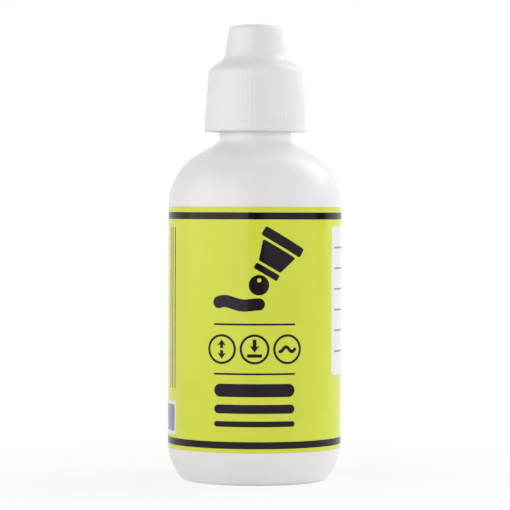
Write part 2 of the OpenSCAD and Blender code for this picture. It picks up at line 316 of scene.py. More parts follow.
def cos(degrees):
    return math.cos(math.radians(degrees))


def sin(degrees):
    return math.sin(math.radians(degrees))


def tan(degrees):
    return math.tan(math.radians(degrees))


# Outlines

def arc(centre, radius, start, stop, steps=16):
    """Points of an arc from one angle to another, in degrees."""
    turn = (stop - start) / steps
    return [
        (centre[0] + radius * cos(start + turn * i), centre[1] + radius * sin(start + turn * i))
        for i in range(steps + 1)
    ]


def run(start, stop, steps):
    """Points between two points, without the two ends."""
    return [
        (start[0] + (stop[0] - start[0]) * i / steps, start[1] + (stop[1] - start[1]) * i / steps)
        for i in range(1, steps)
    ]


def rounded(points, radius, steps=4):
    """An outline whose inner corners are rounded by small arcs. Its first and last points stay."""
    made = [points[0]]
    for before, corner, after in zip(points, points[1:], points[2:]):
        here = Vector(corner)
        to_before = Vector(before) - here
        to_after = Vector(after) - here
        turn = math.pi - to_before.angle(to_after)
        most = CORNER_SHARE * min(to_before.length, to_after.length)
        reach = min(radius * math.tan(turn / 2), most)
        start = here + to_before.normalized() * reach
        end = here + to_after.normalized() * reach
        for i in range(steps + 1):
            t = i / steps
            point = start * (1 - t) ** 2 + here * 2 * t * (1 - t) + end * t ** 2
            made.append((point.x, point.y))
    made.append(points[-1])
    return made


# Meshes

def show(name, mesh, sharp=SHARP):
    """Makes an object of a mesh, smooth except at edges sharper than an angle."""
    mesh.shade_smooth()
    mesh.set_sharp_from_angle(angle=math.radians(sharp))
    piece = bpy.data.objects.new(name, mesh)
    bpy.context.scene.collection.objects.link(piece)
    return piece


def piece_of(name, made, sharp=SHARP):
    """Makes an object of a bmesh whose faces all turn outwards."""
    bmesh.ops.recalc_face_normals(made, faces=made.faces)
    mesh = bpy.data.meshes.new(name)
    made.to_mesh(mesh)
    made.free()
    return show(name, mesh, sharp)


def even_angles(count):
    return [360 * i / count for i in range(count)]


def lathe(name, outline, angles, shape=None, loop=False, sharp=SHARP):
    """Turns an outline about Z. shape(angle, r, z) may move each point of it.

    The outline runs from the axis to the axis, or is a closed loop clear of the axis.
    """
    made = bmesh.new()
    rings = []
    for r, z in outline:
        ring = []
        for angle in angles if r > AXIS_R else angles[:1]:
            new_r, new_z = shape(angle, r, z) if shape else (r, z)
            ring.append(made.verts.new(
                (new_r * cos(angle) * MM, new_r * sin(angle) * MM, new_z * MM)))
        rings.append(ring)
    pairs = list(zip(rings, rings[1:]))
    if loop:
        pairs.append((rings[-1], rings[0]))
    for first, second in pairs:
        for i in range(len(angles)):
            j = (i + 1) % len(angles)
            corners = [
                first[i % len(first)], first[j % len(first)],
                second[j % len(second)], second[i % len(second)],
            ]
            made.faces.new(list(dict.fromkeys(corners)))
    return piece_of(name, made, sharp)


def sweep(name, rings, sharp=SHARP):
    """A closed tube through rings of points, in millimetres."""
    made = bmesh.new()
    placed = [[made.verts.new(Vector(point) * MM) for point in ring] for ring in rings]
    for first, second in zip(placed, placed[1:]):
        for i in range(len(first)):
            j = (i + 1) % len(first)
            made.faces.new((first[i], first[j], second[j], second[i]))
    made.faces.new(placed[0])
    made.faces.new(placed[-1])
    return piece_of(name, made, sharp)


# Materials

class Surface:
    """A Principled material, with short ways to add procedural detail to it."""

    def __init__(self, name, **sockets):
        self.material = bpy.data.materials.new(name)
        self.material.use_nodes = True
        self.tree = self.material.node_tree
        self.shader = self.tree.nodes["Principled BSDF"]
        for socket, value in sockets.items():
            self.shader.inputs[socket.replace("_", " ")].default_value = value
        self.place = self.add("ShaderNodeTexCoord").outputs["Object"]
        self.colour = None
        self.normal = None

    def add(self, kind, **settings):
        node = self.tree.nodes.new(kind)
        for setting, value in settings.items():
            setattr(node, setting, value)
        return node

    def link(self, output, socket):
        self.tree.links.new(output, socket)

    def noise(self, size, stretch=(1, 1, 1), detail=3):
        """Noise with features of a size in millimetres, longer along an axis that is stretched."""
        mapping = self.add("ShaderNodeMapping")
        mapping.inputs["Scale"].default_value = [1 / s for s in stretch]
        self.link(self.place, mapping.inputs["Vector"])
        noise = self.add("ShaderNodeTexNoise")
        noise.inputs["Scale"].default_value = 1 / (size * MM)
        noise.inputs["Detail"].default_value = detail
        self.link(mapping.outputs["Vector"], noise.inputs["Vector"])
        return noise.outputs["Fac"]

    def cells(self, size):
        """Distance to the middle of round cells of a size in millimetres."""
        cells = self.add("ShaderNodeTexVoronoi")
        cells.inputs["Scale"].default_value = 1 / (size * MM)
        self.link(self.place, cells.inputs["Vector"])
        return cells.outputs["Distance"]

    def spread(self, value, low, high, from_low=0.3, from_high=0.7):
        """A value, moved from its own range to the range from low to high."""
        spread = self.add("ShaderNodeMapRange")
        for socket, number in zip(("From Min", "From Max", "To Min", "To Max"),
                                  (from_low, from_high, low, high)):
            spread.inputs[socket].default_value = number
        self.link(value, spread.inputs["Value"])
        return spread.outputs["Result"]

    def colours(self, value, first, second):
        """Base colour that goes from one colour to another with a value."""
        mix = self.add("ShaderNodeMix", data_type="RGBA")
        sockets = [socket for socket in mix.inputs if socket.type == "RGBA"]
        for socket, colour in zip(sockets, (first, second)):
            socket.default_value = (*colour, 1)
        self.link(self.spread(value, 0, 1), mix.inputs["Factor"])
        self.colour = [socket for socket in mix.outputs if socket.type == "RGBA"][0]
        self.link(self.colour, self.shader.inputs["Base Color"])

    def colour_above(self, low, high, colour):
        """Goes over to another colour between two heights in millimetres."""
        axes = self.add("ShaderNodeSeparateXYZ")
        self.link(self.place, axes.inputs["Vector"])
        mix = self.add("ShaderNodeMix", data_type="RGBA")
        first, second = [socket for socket in mix.inputs if socket.type == "RGBA"]
        self.link(self.colour, first)
        second.default_value = (*colour, 1)
        self.link(self.spread(axes.outputs["Z"], 0, 1, low * MM, high * MM), mix.inputs["Factor"])
        mixed = [socket for socket in mix.outputs if socket.type == "RGBA"][0]
        self.link(mixed, self.shader.inputs["Base Color"])

    def roughness(self, value, low, high):
        self.link(self.spread(value, low, high), self.shader.inputs["Roughness"])

    def bump(self, height, depth):
        """Relief of a depth in millimetres, on top of the relief that is there."""
        bump = self.add("ShaderNodeBump")
        bump.inputs["Strength"].default_value = 1
        bump.inputs["Distance"].default_value = depth * MM
        self.link(height, bump.inputs["Height"])
        if self.normal:
            self.link(self.normal, bump.inputs["Normal"])
        self.normal = bump.outputs["Normal"]
        self.link(self.normal, self.shader.inputs["Normal"])


def moulded_plastic(name, light, dark, smooth, rough, grain, flow, empty=None):
    """Satin plastic with cloudy colour, fine grain and faint lines along its flow.

    grain is in millimetres. empty is two heights and a colour: between them a wall goes over to that
    paler colour, painted light that lifts the shade that the cap casts on the neck.
    """
    made = Surface(name, IOR=1.5)
    made.colours(made.noise(size=7, stretch=flow, detail=4), dark, light)
    made.roughness(made.noise(size=1.6, detail=5), rough, smooth)
    made.bump(made.noise(size=5, stretch=flow, detail=1), depth=0.006)
    made.bump(made.noise(size=grain, detail=2), depth=0.0008)
    # Painted light: a paler colour between two heights lifts the shade under the cap
    if empty:
        made.colour_above(*empty)
    return made.material


def film(name, light, dark, sheen=(1, 1, 1)):
    """Printed glossy film, with a slightly uneven gloss and faint ripples. sheen tints its gloss."""
    made = Surface(name, IOR=1.35, Specular_Tint=(*sheen, 1))
    made.colours(made.noise(size=5, detail=4), dark, light)
    made.roughness(made.noise(size=3, detail=4), low=0.12, high=0.18)
    made.bump(made.noise(size=6, detail=1), depth=0.006)
    made.bump(made.noise(size=0.25, detail=2), depth=0.0006)
    return made.material


def steel(name, light, dark, low, high, lines):
    """Bare metal with marks along its turning or drawing, and patchy gloss."""
    made = Surface(name, Metallic=1.0)
    made.colours(made.noise(size=0.9, detail=4), dark, light)
    made.roughness(made.noise(size=0.4, stretch=lines, detail=4), low, high)
    made.bump(made.noise(size=0.12, stretch=lines, detail=3), depth=0.002)
    return made.material


def soft_foam(name, light, dark):
    """Closed-cell foam with a fine skin of cells."""
    made = Surface(name, IOR=1.45)
    made.colours(made.noise(size=1.2), dark, light)
    made.roughness(made.noise(size=0.8), low=0.75, high=0.9)
    made.bump(made.cells(size=0.22), depth=0.03)
    return made.material


def wet_paint(name, light, dark):
    """Liquid paint with streaks of pigment."""
    made = Surface(name, IOR=1.48)
    made.colours(made.noise(size=4, stretch=(1, 1, 3), detail=5), dark, light)
    made.roughness(made.noise(size=2), low=0.05, high=0.12)
    made.bump(made.noise(size=5, detail=1), depth=0.02)
    return made.material


# Ways that the marks of a material are stretched
UPWARDS = (1, 1, 8)
EVEN = (1, 1, 1)
ROUND_THE_AXIS = (30, 30, 1)

# Its wall is painted paler from the upper shoulder up the neck: painted light that lifts the shade under
# the cap
bottle_white = moulded_plastic(
    "bottle_white", (0.86, 0.845, 0.855), (0.83, 0.815, 0.825), smooth=0.29, rough=0.36, grain=0.3,
    flow=UPWARDS, empty=(PAINTED_LIGHT_LOW_Z, PAINTED_LIGHT_HIGH_Z, (0.95, 0.945, 0.955)))
cap_white = moulded_plastic(
    "cap_white", (0.83, 0.82, 0.825), (0.805, 0.795, 0.80), smooth=0.29, rough=0.36, grain=0.22,
    flow=EVEN)
nozzle_white = moulded_plastic(
    "nozzle_white", (0.84, 0.84, 0.81), (0.79, 0.79, 0.76), smooth=0.3, rough=0.4, grain=0.2,
    flow=EVEN)
seat_grey = moulded_plastic(
    "seat_grey", (0.7, 0.7, 0.68), (0.64, 0.64, 0.62), smooth=0.4, rough=0.5, grain=0.2, flow=EVEN)
pusher_ivory = moulded_plastic(
    "pusher_ivory", (0.84, 0.8, 0.67), (0.79, 0.74, 0.6), smooth=0.35, rough=0.45, grain=0.2,
    flow=EVEN)
label_lime = film("label_lime", (0.70, 0.765, 0.068), (0.68, 0.745, 0.062))
ink_black = film("ink_black", (0.007, 0.006, 0.008), (0.004, 0.004, 0.005), (0.92, 0.75, 0.89))
panel_white = film("panel_white", (0.84, 0.84, 0.83), (0.80, 0.80, 0.80))
ink_violet = film("ink_violet", (0.29, 0.26, 0.42), (0.25, 0.22, 0.37))
socket_steel = steel(
    "socket_steel", (0.54, 0.53, 0.515), (0.45, 0.44, 0.425), low=0.29, high=0.4, lines=ROUND_THE_AXIS)
ball_chrome = steel(
    "ball_chrome", (0.66, 0.66, 0.67), (0.6, 0.6, 0.61), low=0.06, high=0.14, lines=EVEN)
spring_wire = steel(
    "spring_wire", (0.5, 0.51, 0.54), (0.42, 0.43, 0.46), low=0.29, high=0.42, lines=ROUND_THE_AXIS)
mixing_steel = steel(
    "mixing_steel", (0.5, 0.5, 0.52), (0.44, 0.44, 0.45), low=0.12, high=0.24, lines=EVEN)
seal_foam = soft_foam("seal_foam", (0.66, 0.66, 0.64), (0.58, 0.58, 0.56))
lime_paint = wet_paint("lime_paint", (0.6, 0.7, 0.04), (0.52, 0.62, 0.03))


def finish_piece(piece, material, body, slot, *nodes):
    """Gives a piece its material and its body, and hides the CAD nodes that it stands for. slot is not
    used.
    """
    piece.data.materials.clear()
    piece.data.materials.append(material)
    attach(piece, body)
    if nodes:
        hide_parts(*nodes)


# Bottle

heel_x = bottle_r - HEEL_R
corner_x = heel_x + math.sqrt(
    (HEEL_R - BASE_CORNER_R) ** 2 - (HEEL_Z - BASE_CORNER_R) ** 2)
corner_turn = math.degrees(math.asin((HEEL_Z - BASE_CORNER_R) / (HEEL_R - BASE_CORNER_R)))
ring_in_r = corner_x - BASE_RING_W
dome_r = (ring_in_r ** 2 + BASE_DOME_H ** 2) / (2 * BASE_DOME_H)
dome_turn = math.degrees(math.asin(ring_in_r / dome_r))
shoulder_x = bottle_r - SHOULDER_R


def shoulder_line_z(r, wall):
    """Height of the shoulder's straight run at a radius, with the outline drawn in by a wall."""
    foot_r = shoulder_x + (SHOULDER_R - wall) * cos(SHOULDER_SWEEP)
    foot_z = SHOULDER_Z + (SHOULDER_R - wall) * sin(SHOULDER_SWEEP)
    return foot_z + (foot_r - r) / tan(SHOULDER_SWEEP)


def bottle_side(wall):
    """Floor, heel, wall and shoulder, drawn in by a wall."""
    return [
        *arc((0, BASE_DOME_H - dome_r + wall), dome_r, 90, 90 - dome_turn, steps=24),
        *arc((corner_x, BASE_CORNER_R), BASE_CORNER_R - wall, -90, -corner_turn, steps=8),
        *arc((heel_x, HEEL_Z), HEEL_R - wall, -corner_turn, 0, steps=24)[1:],
        *run((bottle_r - wall, HEEL_Z), (bottle_r - wall, SHOULDER_Z), steps=26),
        *arc((shoulder_x, SHOULDER_Z), SHOULDER_R - wall, 0, SHOULDER_SWEEP, steps=40),
    ]


def ridge(distance, half_width):
    """Height share of a low round ridge at a distance from its middle."""
    return max(0.0, 1 - (distance / half_width) ** 2)


def bottle_shape(angle, r, z):
    """Adds the mould's parting line up both sides and the weld under the base."""
    from_line = abs(r * sin(angle))
    under_label = label_z - SEAM_LABEL_GAP < z < label_top_z + SEAM_LABEL_GAP
    outside = r > NECK_R - SEAM_RIM_IN
    if z < BASE_DOME_H + SLACK and r < ring_in_r:
        reach = min(1.0, max(0.0, (WELD_REACH - r) / WELD_FADE))
        return r, z - WELD_H * ridge(from_line, WELD_HALF_W) * reach
    if outside and not under_label and z > BASE_CORNER_R:
        return r + SEAM_H * ridge(from_line, SEAM_HALF_W), z
    return r, z


def bottle_angles():
    """Even angles, with close ones at the mould's two parting lines."""
    close = [
        line + side * SEAM_STEP * i
        for line in (0, 180) for side in (-1, 1) for i in range(1, SEAM_STEPS + 1)
    ]
    return sorted({round(angle % 360, 4) for angle in even_angles(BOTTLE_SIDES) + close})


def make_bottle():
    neck_z = shoulder_line_z(NECK_R, 0)
    fillet_z = neck_z + NECK_FILLET_R * tan(SHOULDER_SWEEP / 2)
    fillet_centre = (NECK_R + NECK_FILLET_R, fillet_z)
    neck = rounded([
        (NECK_R, fillet_z), (NECK_R, rim_z), (bore_r, rim_z),
        (bore_r, shoulder_line_z(bore_r, BOTTLE_WALL)),
    ], RIM_FILLET_R)
    outline = [
        *bottle_side(0),
        *arc(fillet_centre, NECK_FILLET_R, 180 + SHOULDER_SWEEP, 180, steps=10),
        *neck[1:],
        *reversed(bottle_side(BOTTLE_WALL)),
    ]
    shell = lathe("bottle_shell", outline, bottle_angles(), bottle_shape)
    finish_piece(shell, bottle_white, "bottle", "bottle_plastic", "bottle")


def thread_rings(wall_r, start_z, side):
    """Rings of a helical thread on a wall, outwards for side 1 and inwards for side -1."""
    steps = int(THREAD_TURNS * THREAD_STEPS)
    whole = THREAD_TURNS * 360
    rings = []
    for i in range(steps + 1):
        angle = whole * i / steps
        share = min(1, angle / THREAD_FADE, (whole - angle) / THREAD_FADE)
        height = THREAD_DEPTH * share - THREAD_BITE / 2 * (1 - share)
        z = start_z + THREAD_PITCH * angle / 360
        half = [
            (THREAD_ROOT_W / 2, -THREAD_BITE),
            (THREAD_CREST_W / 2 + THREAD_ROUND / 4, height - THREAD_ROUND),
            (THREAD_CREST_W / 2 - THREAD_ROUND, height),
        ]
        profile = [(-along, out) for along, out in half] + half[::-1]
        rings.append([
            ((wall_r + side * out) * cos(angle), (wall_r + side * out) * sin(angle), z + along)
            for along, out in profile
        ])
    return rings


def make_threads():
    neck_thread = sweep("neck_thread", thread_rings(NECK_R, thread_start_z, 1), THREAD_SHARP)
    finish_piece(neck_thread, bottle_white, "bottle", "bottle_plastic")
    cap_thread = sweep("cap_thread", thread_rings(cap_bore_r, cap_thread_z, -1), THREAD_SHARP)
    finish_piece(cap_thread, cap_white, "cap", "cap_plastic")


# Cap

skirt_top_r = cap_bore_r + CAP_WALL
cone_foot_r = skirt_top_r - SKIRT_CHAMFER_H
band_z = skirt_z + SKIRT_BAND_H
nipple_end_z = ball_high.z + NIPPLE_END_GAP


def skirt_r(z):
    return skirt_top_r + (deck_z - z) * tan(SKIRT_DRAFT)


def nipple_in_r(z):
    return collar_r + NIPPLE_GAP + (collar_z - z) * tan(NIPPLE_TAPER)


def nipple_r(z):
    return nipple_in_r(z) + CAP_WALL / cos(NIPPLE_TAPER)


def cone_r(z):
    return cone_foot_r + (deck_z - z) * tan(CONE_SLOPE)


def groove_depth(angle):
    """Depth of the soft grooves between the ribs, at an angle round the skirt."""
    return GROOVE_DEPTH * (1 + cos(GROOVE_COUNT * angle)) / 2


def cap_shape(angle, r, z):
    """Cuts the grooves into the skirt's outside, from its plain band up over its edge, where they fade."""
    if r > cap_bore_r + CAP_WALL / 4 and z > band_z - SLACK:
        fade = max(0.0, min(1.0, (deck_z - z) / SKIRT_CHAMFER_H))
        return r - fade * groove_depth(angle), z
    return r, z


def make_cap():
    edge_z = nipple_end_z + NIPPLE_END_T - NIPPLE_EDGE_R
    edge_x = nipple_r(edge_z) - NIPPLE_EDGE_R / cos(NIPPLE_TAPER)
    crown_edge_r = edge_x + NIPPLE_EDGE_R * sin(CROWN_SLOPE)
    crown_r = crown_edge_r / sin(CROWN_SLOPE)
    crown_z = edge_z + (NIPPLE_EDGE_R - crown_r) * cos(CROWN_SLOPE)
    crown_top_z = crown_z + crown_r
    gate_turn = math.degrees(math.acos(GATE_R / crown_r))
    flare_z = (cone_r(0) + FLARE_R / cos(CONE_SLOPE) - nipple_r(0) - FLARE_R / cos(NIPPLE_TAPER)) / (
        tan(CONE_SLOPE) - tan(NIPPLE_TAPER))
    flare_centre = (nipple_r(flare_z) + FLARE_R / cos(NIPPLE_TAPER), flare_z)
    flare = arc(flare_centre, FLARE_R, 180 + CONE_SLOPE, 180 + NIPPLE_TAPER, steps=14)
    rib_top_z = deck_z - SKIRT_CHAMFER_H
    rib_low_z = band_z + RIB_H / 2
    inside = rounded([
        (0, nipple_end_z), (nipple_in_r(nipple_end_z), nipple_end_z),
        (nipple_in_r(ceiling_z), ceiling_z), (cap_bore_r, ceiling_z),
        (cap_bore_r, skirt_z + SKIRT_EDGE_R), (cap_bore_r + SKIRT_EDGE_R, skirt_z),
        (skirt_r(skirt_z) - RIB_H, skirt_z), (skirt_r(band_z) - RIB_H, band_z),
    ], SKIRT_EDGE_R)
    mid_z = (band_z + rib_top_z) / 2
    ribs = rounded([
        (skirt_r(band_z) - RIB_H, band_z), (skirt_r(rib_low_z), rib_low_z), (skirt_r(mid_z), mid_z),
    ], RIB_ROUND)
    edge = rounded([
        (skirt_r(mid_z), mid_z), (skirt_r(rib_top_z), rib_top_z), (cone_foot_r, deck_z),
    ], SKIRT_ROUND, steps=12)
    outline = [
        *inside,
        *ribs[1:],
        *edge[1:],
        *flare,
        *run(flare[-1], (nipple_r(edge_z), edge_z), steps=6),
        *arc((edge_x, edge_z), NIPPLE_EDGE_R, NIPPLE_TAPER, 90 - CROWN_SLOPE, steps=10),
        *arc((0, crown_z), crown_r, 90 - CROWN_SLOPE, gate_turn, steps=6)[1:],
        (GATE_R - GATE_SLOPE, crown_top_z - GATE_DEPTH),
        (PIP_R, crown_top_z - GATE_DEPTH),
        (PIP_TOP_R, crown_top_z - PIP_EDGE_DROP),
        (0, crown_top_z - PIP_DROP),
    ]
    angles = even_angles(GROOVE_COUNT * SEGMENTS_PER_GROOVE)
    shell = lathe("cap_shell", outline, angles, cap_shape, sharp=CAP_SHARP)
    finish_piece(shell, cap_white, "cap", "cap_plastic", "cap")


# Tip

def make_plug():
    channel_r = bore_r - SPIGOT_WALL
    throat_r = SHANK_R - SHANK_LEDGE
    shank_z = socket_low.z
    throat_z = shank_z - THROAT_H
    nozzle_end_r = SHANK_R + NOZZLE_WALL
    start_z = (shank_z + nozzle_z) / 2
    outline = rounded([
        (SHANK_R, start_z),
        (SHANK_R, shank_z), (throat_r, shank_z), (throat_r, throat_z),
        (channel_r, throat_z - (channel_r - throat_r)), (channel_r, plug_low.z),
        (bore_r, plug_low.z), (bore_r, rim_z),
        (NECK_R - FLANGE_SETBACK, rim_z), (NECK_R - FLANGE_SETBACK, flange_z),
        (nozzle_end_r + NOZZLE_SPREAD, flange_z), (nozzle_end_r, nozzle_z), (SHANK_R, nozzle_z),
        (SHANK_R, start_z + LOOP_GAP),
    ], TIP_EDGE_R)
    plug = lathe("nozzle_plug", outline, even_angles(TIP_SIDES), loop=True)
    finish_piece(plug, nozzle_white, "bottle", "plug_plastic", "tip_plug")


def make_socket():
    seat_r = ball_r + SEAT_GAP
    lip_r = ball_r - LIP_HOLD
    lip_turn = math.degrees(math.acos(lip_r / seat_r))
    chamber_r = ball_r + CHAMBER_GAP
    outside = rounded([
        (chamber_r, socket_low.z), (SHANK_R, socket_low.z), (SHANK_R, nozzle_z),
        (collar_r, nozzle_z), (collar_r, collar_z), (collar_r - COLLAR_STEP, collar_z),
        (lip_r + LIP_WALL, lip_z), (lip_r, lip_z), (lip_r, ball_z + seat_r * sin(lip_turn)),
    ], TIP_EDGE_R)
    outline = [
        *outside,
        *arc((0, ball_z), seat_r, lip_turn, 0, steps=12)[1:],
        (chamber_r, ball_z - CHAMBER_GAP),
    ]
    socket = lathe("socket_turned", outline, even_angles(TIP_SIDES), loop=True)
    finish_piece(socket, socket_steel, "bottle", "socket_metal", "ball_socket")


def make_ball():
    outline = arc((0, ball_z), ball_r, -90, 90, steps=48)
    outline[0] = (0, ball_low.z)
    outline[-1] = (0, ball_high.z)
    ball = lathe("marking_ball", outline, even_angles(BALL_SIDES))
    finish_piece(ball, ball_chrome, "ball", "ball_steel", "ball")


def make_spring():
    """Round wire coil along the CAD spring, from its low end to its high end."""
    wire_r = SPRING_WIRE_R
    coil_r = spring_high.x - wire_r
    length = spring_high.z - spring_low.z
    steps = SPRING_TURNS * SPRING_STEPS
    rings = []
    for i in range(steps + 1):
        angle = 360 * SPRING_TURNS * i / steps
        middle_z = spring_low.z + wire_r + (length - 2 * wire_r) * i / steps
        section = [
            (coil_r + wire_r * cos(turn), middle_z + wire_r * sin(turn))
            for turn in even_angles(WIRE_SIDES)
        ]
        rings.append([(r * cos(angle), r * sin(angle), z) for r, z in section])
    spring = sweep("coil_spring", rings)
    finish_piece(spring, spring_wire, "bottle", "spring_steel", "tip_spring")
    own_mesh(spring)


def dress_inner_nodes():
    """Materials of the CAD nodes that keep their own shapes."""
    for node, material in (
        ("spring_seat", seat_grey), ("ball_pusher", pusher_ivory), ("cap_seal", seal_foam),
        ("mixing_ball", mixing_steel), ("paint_fill", lime_paint),
    ):
        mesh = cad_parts[node].data
        mesh.materials.clear()
        mesh.materials.append(material)


# Label: flat shapes as (along, height) points in millimetres, along the film from its front

def disc(centre, radius, steps=40):
    return arc(centre, radius, 0, 360 - 360 / steps, steps - 1)


def ring(centre, radius, width):
    return [disc(centre, radius), disc(centre, radius - width)]


def panel(low, high, corner):
    """A rectangle with rounded corners."""
    return [
        *arc((high[0] - corner, high[1] - corner), corner, 0, 90, steps=6),
        *arc((low[0] + corner, high[1] - corner), corner, 90, 180, steps=6),
        *arc((low[0] + corner, low[1] + corner), corner, 180, 270, steps=6),
        *arc((high[0] - corner, low[1] + corner), corner, 270, 360, steps=6),
    ]


def ribbon(path, width):
    """A stroke of one width along a path, with round ends."""
    sides = []
    for i, point in enumerate(path):
        before = Vector(path[max(i - 1, 0)])
        after = Vector(path[min(i + 1, len(path) - 1)])
        along = (after - before).normalized()
        sides.append((Vector(point), Vector((-along.y, along.x)) * width / 2, along))
    left = [tuple(point + out) for point, out, _ in sides]
    right = [tuple(point - out) for point, out, _ in sides]

    def end_cap(point, along, back):
        angle = math.degrees(math.atan2(along.y, along.x)) + (90 if back else -90)
        return arc(tuple(point), width / 2, angle, angle + 180, steps=10)[1:-1]

    return [
        *right, *end_cap(sides[-1][0], sides[-1][2], False),
        *left[::-1], *end_cap(sides[0][0], sides[0][2], True),
    ]


def arrow(start, stop, width, head):
    """An arrow from one point to another, with a head of a width and swept-back barbs."""
    tip = Vector(stop)
    along = (tip - Vector(start)).normalized()
    out = Vector((-along.y, along.x))
    neck = tip - along * head * ARROW_NECK
    barb = neck - along * head * ARROW_BARB
    foot = Vector(start)
    return [tuple(point) for point in (
        foot - out * width / 2, neck - out * width / 2, barb - out * head / 2, tip,
        barb + out * head / 2, neck + out * width / 2, foot + out * width / 2)]


def wrap(along, out, height):
    """A point of the label in the shared frame, from its place on the flat film."""
    angle = along / label_r
    r = label_r + out
    return Vector((r * math.sin(angle), -r * math.cos(angle), height)) * MM


def wrapped(name, shapes, low, high):
    """Closed thin pieces of flat shapes, wrapped round the bottle between two offsets.

    A shape is a list of loops: its outline and any holes.
    """
    flat = bmesh.new()
    for loops in shapes:
        placed = [flat.verts.new((along, 0, height)) for loop in loops for along, height in loop]
        filled = tessellate_polygon([[(along, height, 0) for along, height in loop] for loop in loops])
        for corners in filled:
            flat.faces.new([placed[i] for i in corners])
    reach = [vert.co.x for vert in flat.verts]
    for i in range(math.ceil(min(reach) / WRAP_STEP), math.ceil(max(reach) / WRAP_STEP)):
        bmesh.ops.bisect_plane(
            flat, geom=[*flat.verts, *flat.edges, *flat.faces], dist=SNAP,
            plane_co=(i * WRAP_STEP, 0, 0), plane_no=(1, 0, 0))
    made = bmesh.new()
    lower = {vert: made.verts.new(wrap(vert.co.x, low, vert.co.z)) for vert in flat.verts}
    upper = {vert: made.verts.new(wrap(vert.co.x, high, vert.co.z)) for vert in flat.verts}
    for face in flat.faces:
        made.faces.new([upper[vert] for vert in face.verts])
        made.faces.new([lower[vert] for vert in reversed(face.verts)])
    for edge in flat.edges:
        if len(edge.link_faces) == 1:
            a, b = edge.verts
            made.faces.new((lower[a], lower[b], upper[b], upper[a]))
    flat.free()
    return piece_of(name, made)


def printed(name, shapes, material, layer=0):
    """Ink on the label, or on the ink of the layer under it."""
    low = layer * INK_T - INK_SINK
    piece = wrapped(name, shapes, low, (layer + 1) * INK_T)
    finish_piece(piece, material, "bottle", "label_film")


def whole_width(low, high):
    """A strip of the label between two heights, from one side of its seam round to the other."""
    return [[(-half_label, low), (half_label, low), (half_label, high), (-half_label, high)]]


def make_label():
    sheet = wrapped("label_wrap", [whole_width(label_z, label_top_z)], -film_t, 0)
    finish_piece(sheet, label_lime, "bottle", "label_film", "label")
    bands = [
        whole_width(low, low + BAND_W)
        for low in (label_z + LOW_BAND_MARGIN, label_top_z - TOP_BAND_MARGIN - BAND_W)
    ]
    printed("label_bands", bands, ink_black)


def wave(start, stop, height, swing, length, calm_end, steps=60):
    """Points of a wave, which calms towards its end if that is asked for."""
    points = []
    for i in range(steps + 1):
        x = start + (stop - start) * i / steps
        size = swing * (1 - i / steps if calm_end else 1)
        points.append((x, height + size * math.sin(2 * math.pi * (x - stop) / length)))
    return points


def turned(shape, place, angle, scale):
    """A flat shape, scaled and turned about its origin, with that origin at a place."""
    return [
        (place[0] + scale * (x * cos(angle) - y * sin(angle)),
         place[1] + scale * (x * sin(angle) + y * cos(angle)))
        for x, y in shape
    ]


def make_emblem():
    """A leaning ball tip that draws a stroke: the sign on the label's front."""
    end_z, top_z = DRAWN_NOZZLE_Z
    end_w, top_w = DRAWN_NOZZLE_HALF_W
    nozzle = rounded([
        (0, top_z), (-top_w, top_z), (-end_w, end_z), (end_w, end_z), (top_w, top_z), (0, top_z),
    ], DRAWN_CORNER)[:-1]
    tip = [
        [panel(*DRAWN_FLANGE, DRAWN_FLANGE_CORNER)],
        [nozzle],
        [panel(*DRAWN_COLLAR, DRAWN_CORNER)],
        [disc((0, 0), DRAWN_BALL_R), disc(DRAWN_GLINT, DRAWN_GLINT_R)],
    ]
    shapes = [
        [turned(loop, EMBLEM_PLACE, EMBLEM_TURN, EMBLEM_SCALE) for loop in loops] for loops in tip
    ]
    line = wave(
        DRAWN_LINE_X, EMBLEM_PLACE[0], DRAWN_LINE_Z, DRAWN_LINE_SWING, DRAWN_LINE_LENGTH, True)
    shapes.append([ribbon(line, DRAWN_LINE_W)])
    printed("label_emblem", shapes, ink_black)


def make_signs():
    """Three ringed signs for use: shake, press and draw."""
    z = SIGNS_Z
    shapes = [ring((x, z), SIGN_R, SIGN_LINE_W) for x in (-SIGN_REACH, 0, SIGN_REACH)]
    for way in (1, -1):
        foot = (-SIGN_REACH, z + way * SHAKE_FOOT)
        shapes.append([arrow(foot, (-SIGN_REACH, z + way * SHAKE_TIP), SHAKE_W, SHAKE_HEAD)])
    shapes.append([arrow((0, z + PRESS_FOOT), (0, z + PRESS_TIP), PRESS_W, PRESS_HEAD)])
    plate = panel(PLATE_LOW, PLATE_HIGH, PLATE_CORNER)
    shapes.append([[(x, z + up) for x, up in plate]])
    line = wave(SIGN_REACH - DRAW_HALF_W, SIGN_REACH + DRAW_HALF_W, z, DRAW_SWING, DRAW_LENGTH, False)
    shapes.append([ribbon(line, DRAW_W)])
    printed("label_signs", shapes, ink_black)


def rule(left, right, low):
    """A thin level line between two places along the film, from a height up."""
    return panel((left, low), (right, low + RULE_W), RULE_CORNER)


def make_strokes():
    """Rules and sample strokes of three widths under the signs."""
    shapes = [[rule(-RULE_HALF, RULE_HALF, z - RULE_W / 2)] for z in RULES_Z]
    for z, width in STROKES:
        reach = STROKE_HALF - width / 2
        shapes.append([ribbon([(-reach, z), (reach, z)], width)])
    printed("label_strokes", shapes, ink_black)


